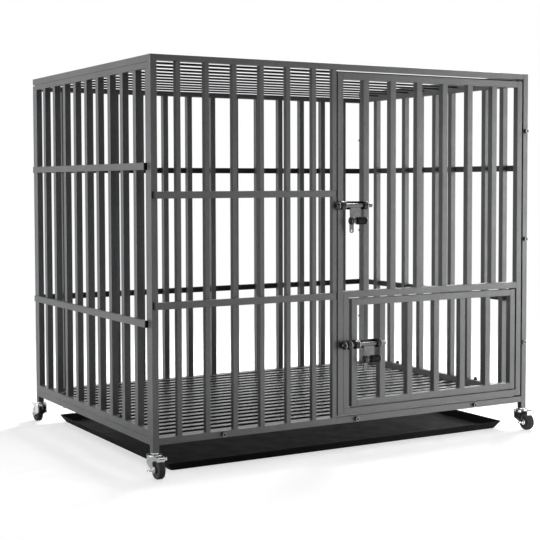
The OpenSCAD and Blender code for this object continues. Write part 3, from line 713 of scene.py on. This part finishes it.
FLOOR_SIZE = 60
FLOOR_DROP = 0.4 * MM
FLOOR_GREY, FLOOR_SHADE = 0.72, 0.99
FLOOR_LIFT = 0.60
FLOOR_BOUNCE = (0.12, 0.12, 0.12, 1)
WHITE_REACH = (1.1, 2.6)
BEHIND_REACH = (-2.4, -0.8)
# A painted pool of light, seen only in reflections: its middle, reach and glow
POOL_AT = (0.8, -1.0, 0.0)
POOL_REACH, POOL_LEVELS = (0.4, 1.3), (1.0, 0.12)


def floor_material():
    m = Finish("studio_floor", Roughness=0.9, Specular_IOR_Level=0.1)
    m.drive("Base Color", m.ramp(m.noise(0.8, 2), mottle(FLOOR_GREY * FLOOR_SHADE, FLOOR_GREY)))
    matt = m.shader.outputs["BSDF"]
    where = m.add("TexCoord").outputs["Object"]
    middle = m.add("VectorMath", operation="LENGTH")
    m.join(where, middle.inputs[0])
    far = m.fade(middle.outputs["Value"], WHITE_REACH)
    white = m.add("Emission", Color=WHITE, Strength=1.0).outputs["Emission"]

    lift = m.add("Emission", Color=WHITE, Strength=FLOOR_LIFT)
    to_camera = m.mix(far, m.both(matt, lift.outputs["Emission"]), white)

    # Painted pool of light: near the right front corner the floor glows to mirrors
    from_pool = m.add("VectorMath", operation="DISTANCE")
    from_pool.inputs[1].default_value = POOL_AT
    m.join(where, from_pool.inputs[0])
    pool = m.add("Emission", Color=WHITE)
    m.join(m.fade(from_pool.outputs["Value"], POOL_REACH, POOL_LEVELS), pool.inputs["Strength"])
    far_behind = m.combine("MULTIPLY", m.fade(m.y_of(where), BEHIND_REACH), far)
    to_mirrors = m.mix(far_behind, m.both(matt, pool.outputs["Emission"]), white)

    bounce = m.add("BsdfDiffuse", Color=FLOOR_BOUNCE).outputs["BSDF"]
    unseen = m.mix(m.rays("Is Glossy Ray", "Is Transmission Ray"), bounce, to_mirrors)
    surface = m.mix(m.rays("Is Camera Ray"), unseen, to_camera)
    m.join(surface, m.nodes["Material Output"].inputs["Surface"])
    return m.material


bpy.ops.mesh.primitive_plane_add(size=FLOOR_SIZE, location=(0, 0, -FLOOR_DROP))
ground = bpy.context.object
ground.name = "studio_floor"
ground.data.materials.append(floor_material())


# Room: white to the camera, to mirrors darker towards the front, and a faint
# light from all round

ROOM_LIGHT = 0.04
ROOM_REACH, ROOM_LEVELS = (-0.98, -0.45), (0.12, 1.0)


def studio_world():
    world = bpy.data.worlds.new("studio")
    w = Shading(world)
    dim = w.nodes["Background"]
    dim.inputs["Color"].default_value = WHITE
    dim.inputs["Strength"].default_value = ROOM_LIGHT
    bright = w.add("Background", Color=WHITE)
    direction = w.add("TexCoord").outputs["Generated"]
    room = w.fade(w.y_of(direction), ROOM_REACH, ROOM_LEVELS)
    w.join(w.combine("MAXIMUM", room, w.rays("Is Camera Ray")), bright.inputs["Strength"])
    shows = w.rays("Is Camera Ray", "Is Glossy Ray", "Is Transmission Ray")
    surface = w.mix(shows, dim.outputs["Background"], bright.outputs["Background"])
    w.join(surface, w.nodes["World Output"].inputs["Surface"])
    return world


bpy.context.scene.world = studio_world()


# Softboxes: place, target and size in metres, power in watts, and the tubes
# that lie in the shade of the lamp's flags

INNER_TUBES = ("left_bars", "back_posts", "back_rails", "back_bars", "back_cross_rails",
               "roof_slats", "side_rails", "side_uprights", "roof_tubes", "floor_bars",
               "floor_tubes")
LAMPS = (
    ("key_box", (3.4, 2.2, 3.4), (0, 0, 0.3), (1.6, 1.6), 330, ()),
    ("right_box", (1.9, -1.9, 0.62), (0.35, -0.4, 0.5), (1.0, 1.3), 18, INNER_TUBES),
    ("front_box", (1.3, -4.2, 0.7), (-0.4, -0.4, 0.5), (1.6, 1.3), 3.8, INNER_TUBES),
    ("left_box", (-7.5, -0.4, 1.0), (-0.6, -0.2, 0.9), (0.5, 1.4), 260,
     ("right_bars", "front_bars", "floor_bars")),
    ("top_box", (0.2, 0.1, 4.2), (0, 0, 0.4), (2.2, 2.2), 60, ()),
)


def lamp(name, place, target, size, power, spared):
    """A softbox that doesn't light the spared tubes."""
    light = bpy.data.lights.new(name, "AREA")
    light.shape = "RECTANGLE"
    light.size, light.size_y = size
    light.energy = power
    box = bpy.data.objects.new(name, light)
    box.location = place
    box.rotation_euler = (Vector(target) - Vector(place)).to_track_quat("-Z", "Y").to_euler()
    box.visible_camera = False
    bpy.context.scene.collection.objects.link(box)
    if spared:
        flags = bpy.data.collections.new(name + "_flags")
        for node in spared:
            flags.objects.link(tubes[node])
        for entry in flags.collection_objects:
            entry.light_linking.link_state = "EXCLUDE"
        box.light_linking.receiver_collection = flags


for row in LAMPS:
    lamp(*row)


# Camera as fitted to the photo: place in metres, yaw, pitch and roll in
# degrees, lens and sensor in mm

CAMERA_PLACE = (-1.846, -3.139, 0.7204)
CAMERA_TURN = (30.10, -2.778, -0.155)
LENS, SENSOR = 81.87, 36
SHIFT_X, SHIFT_Y = 0.0021, -0.0493


def photo_camera():
    lens = bpy.data.cameras.new("photo_camera")
    lens.sensor_width = SENSOR
    lens.lens = LENS
    lens.shift_x, lens.shift_y = SHIFT_X, SHIFT_Y
    camera = bpy.data.objects.new("photo_camera", lens)
    yaw, pitch, roll = (math.radians(angle) for angle in CAMERA_TURN)
    look = Vector((math.sin(yaw) * math.cos(pitch),
                   math.cos(yaw) * math.cos(pitch),
                   math.sin(pitch)))
    level = Vector((math.cos(yaw), -math.sin(yaw), 0))
    upright = level.cross(look)
    right = math.cos(roll) * level + math.sin(roll) * upright
    up = math.cos(roll) * upright - math.sin(roll) * level
    turn = Matrix((right, up, -look)).transposed()
    camera.matrix_world = Matrix.Translation(CAMERA_PLACE) @ turn.to_4x4()
    bpy.context.scene.collection.objects.link(camera)
    return camera


bpy.context.scene.camera = photo_camera()
bpy.context.scene.view_settings.view_transform = "Standard"
